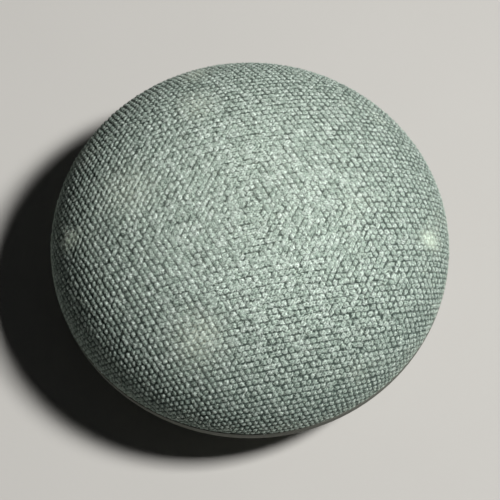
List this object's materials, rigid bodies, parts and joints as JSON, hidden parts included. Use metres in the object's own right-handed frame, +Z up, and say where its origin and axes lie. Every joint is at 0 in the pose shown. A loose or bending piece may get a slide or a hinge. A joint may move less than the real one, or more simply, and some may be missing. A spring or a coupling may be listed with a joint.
{
  "type": "smart speaker",
  "caption": "Round puck-shaped smart speaker with a grey-green knitted cover over a perforated dome, a moulded base, an upward-firing driver, a mute slider and a reset button.",
  "frame": {"origin": "centre of the resting surface, under the foot pad", "axes": "+Z up through the middle of the dome, -Y to the front, +Y to the power inlet at the back, +X to the right"},
  "size_m": [0.098, 0.098, 0.042],
  "materials": {
    "knit": "heathered grey-green knit, matt",
    "base_plastic": "fine moulded grain",
    "silicone": "matt silicone",
    "dark_plastic": "moulded, matt",
    "foam": "closed-cell foam",
    "zinc_steel": "zinc plated",
    "board_laminate": "solder mask on glass laminate",
    "white_laminate": "white solder mask",
    "pale_nylon": "moulded nylon",
    "black_nylon": "moulded nylon",
    "plated_steel": "tin plated sheet",
    "orange_plastic": "moulded, matt",
    "chip_resin": "moulded resin",
    "capacitor_can": "bright can",
    "ferrite": "sintered ferrite",
    "pad_rubber": "soft gap pad",
    "aluminium_plate": "stamped, satin",
    "painted_steel": "satin black lacquer",
    "nickel": "nickel plated",
    "kapton": "amber film",
    "copper": "enamelled copper",
    "cone_paper": "pressed pulp",
    "butyl_rubber": "matt rubber",
    "spider_cloth": "resin treated cloth",
    "fibre_strip": "pressed fibre",
    "lead_insulation": "insulated wire",
    "light_resin": "diffusing resin",
    "clear_acrylic": "clear acrylic",
    "brass_can": "gold-flashed can",
    "flex_film": "polyimide film"
  },
  "bodies": {
    "root": {"foot_pad": "silicone", "base_shell": "base_plastic", "knit_cover": "knit", "grille_shell": "dark_plastic", "shell_seal": "foam", "housing_screws": "zinc_steel", "main_board": "board_laminate", "port_board": "board_laminate", "board_link": "pale_nylon", "power_inlet": "plated_steel", "inlet_tongue": "black_nylon", "mute_switch_body": "black_nylon", "reset_switch_body": "black_nylon", "processor": "chip_resin", "memory_chip": "chip_resin", "radio_chip": "chip_resin", "radio_shield": "plated_steel", "audio_amplifier": "chip_resin", "capacitors": "capacitor_can", "inductors": "ferrite", "antennas": "plated_steel", "thermal_pad": "pad_rubber", "heat_spreader": "aluminium_plate", "board_screws": "zinc_steel", "speaker_chamber": "dark_plastic", "basket": "painted_steel", "yoke": "zinc_steel", "magnet": "nickel", "pole_plate": "zinc_steel", "surround": "butyl_rubber", "spider": "spider_cloth", "speaker_gasket": "foam", "terminal_strip": "fibre_strip", "speaker_leads": "lead_insulation", "lead_grommet": "butyl_rubber", "board_connectors": "pale_nylon", "speaker_screws": "zinc_steel", "light_board": "white_laminate", "status_lights": "light_resin", "light_guides": "clear_acrylic", "microphones": "brass_can", "microphone_gaskets": "foam", "touch_electrodes": "copper", "touch_flexes": "flex_film", "top_flex": "flex_film"},
    "cone": {"cone": "cone_paper", "dust_cap": "cone_paper", "coil_former": "kapton", "coil_winding": "copper"},
    "mute": {"mute_slider": "base_plastic", "mute_flag": "orange_plastic", "mute_switch_lever": "pale_nylon"},
    "reset": {"reset_button": "base_plastic", "reset_plunger": "pale_nylon"}
  },
  "joints": [
    {"name": "cone_stroke", "type": "slide", "parent": "root", "child": "cone", "axis": [0, 0, 1], "range_m": [-0.0015, 0.0015], "stiffness_N_per_m": 1500, "deforming": ["surround", "spider"]},
    {"name": "mute_slide", "type": "slide", "parent": "root", "child": "mute", "axis": [-0.9397, 0.342, 0], "range_m": [0, 0.003]},
    {"name": "reset_press", "type": "slide", "parent": "root", "child": "reset", "axis": [0, 0, 1], "range_m": [0, 0.0004], "stiffness_N_per_m": 800, "springref_m": -0.0002}
  ]
}
